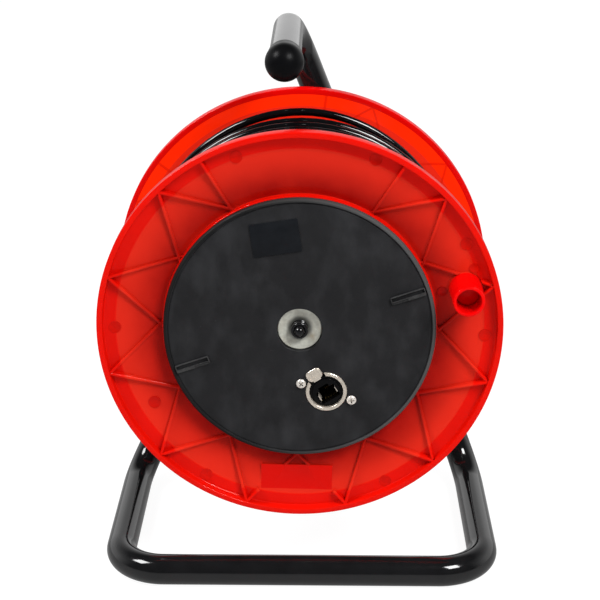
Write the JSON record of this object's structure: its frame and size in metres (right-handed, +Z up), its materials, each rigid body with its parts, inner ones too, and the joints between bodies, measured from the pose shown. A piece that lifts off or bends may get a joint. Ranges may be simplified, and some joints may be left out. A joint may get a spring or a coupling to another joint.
{
  "type": "network cable reel",
  "caption": "Cable drum with ribbed flanges, a socket in its hub cover, a winding knob and network cable wound on it, on a bent tube stand with a carrying handle.",
  "frame": {"origin": "on the floor, under the middle of the whole reel's box", "axes": "+Z up; +Y from the knob side to the stand's legs, along the axle; +X to the right seen from the knob side"},
  "size_m": [0.237, 0.1636, 0.3207],
  "materials": {
    "black_paint": "gloss powder coat",
    "black_plastic": "satin, fine texture",
    "red_plastic": "semi-gloss, a little translucent",
    "black_gloss": "gloss",
    "zinc": "zinc plated",
    "steel": "plain",
    "nickel": "nickel plated",
    "gold": "gold plated",
    "nylon": "natural nylon",
    "cable_sheath": "soft PVC sheath, semi-gloss",
    "clear_plastic": "clear polycarbonate"
  },
  "bodies": {
    "stand": {"stand_tube": "black_paint", "handle_cap": "black_plastic", "axle_plate": "black_paint", "axle": "black_paint", "axle_washer": "zinc", "axle_retainer": "black_paint", "axle_nut": "zinc", "axle_nut_washer": "zinc", "axle_spacer": "nylon"},
    "drum": {"front_bush": "nylon", "rear_bush": "nylon", "front_flange": "red_plastic", "rear_flange": "red_plastic", "drum_barrel": "red_plastic", "tie_screw_1": "steel", "tie_screw_2": "steel", "tie_screw_3": "steel", "tie_screw_4": "steel", "tie_nut_1": "zinc", "tie_nut_2": "zinc", "tie_nut_3": "zinc", "tie_nut_4": "zinc", "hub_cover": "black_plastic", "blank_label": "black_gloss", "socket_housing": "nickel", "socket_insert": "black_gloss", "socket_contacts": "gold", "left_shield_spring": "nickel", "right_shield_spring": "nickel", "socket_terminals": "black_plastic", "socket_screw_1": "steel", "socket_screw_2": "steel", "latch_spring": "steel", "inner_lead": "cable_sheath", "lead_clamp": "black_plastic", "clamp_screw_1": "steel", "clamp_screw_2": "steel", "knob_pin": "red_plastic", "cable_core": "cable_sheath", "cable_layer": "cable_sheath", "plug_boot": "black_plastic", "plug_body": "clear_plastic", "plug_contacts": "gold"},
    "knob": {"winding_knob": "red_plastic"},
    "latch": {"latch_tab": "nickel"},
    "plug_lever": {"plug_latch": "clear_plastic"}
  },
  "joints": [
    {"name": "drum_spin", "type": "hinge", "parent": "stand", "child": "drum", "pos_m": [-0.0009, -0.00425, 0.1582], "axis": [0, 1, 0], "continuous": true},
    {"name": "knob_spin", "type": "hinge", "parent": "drum", "child": "knob", "pos_m": [0.09248, -0.07025, 0.18252], "axis": [0, 1, 0], "continuous": true},
    {"name": "latch_press", "type": "slide", "parent": "drum", "child": "latch", "axis": [0, 1, 0], "range_m": [0, 0.0008], "stiffness_N_per_m": 1500, "deforming": ["latch_spring"]},
    {"name": "plug_latch_flex", "type": "hinge", "parent": "drum", "child": "plug_lever", "pos_m": [-0.10556, 0.03575, 0.11944], "axis": [0, 1, 0], "range_deg": [0, 8], "stiffness_Nm_per_rad": 0.05}
  ]
}
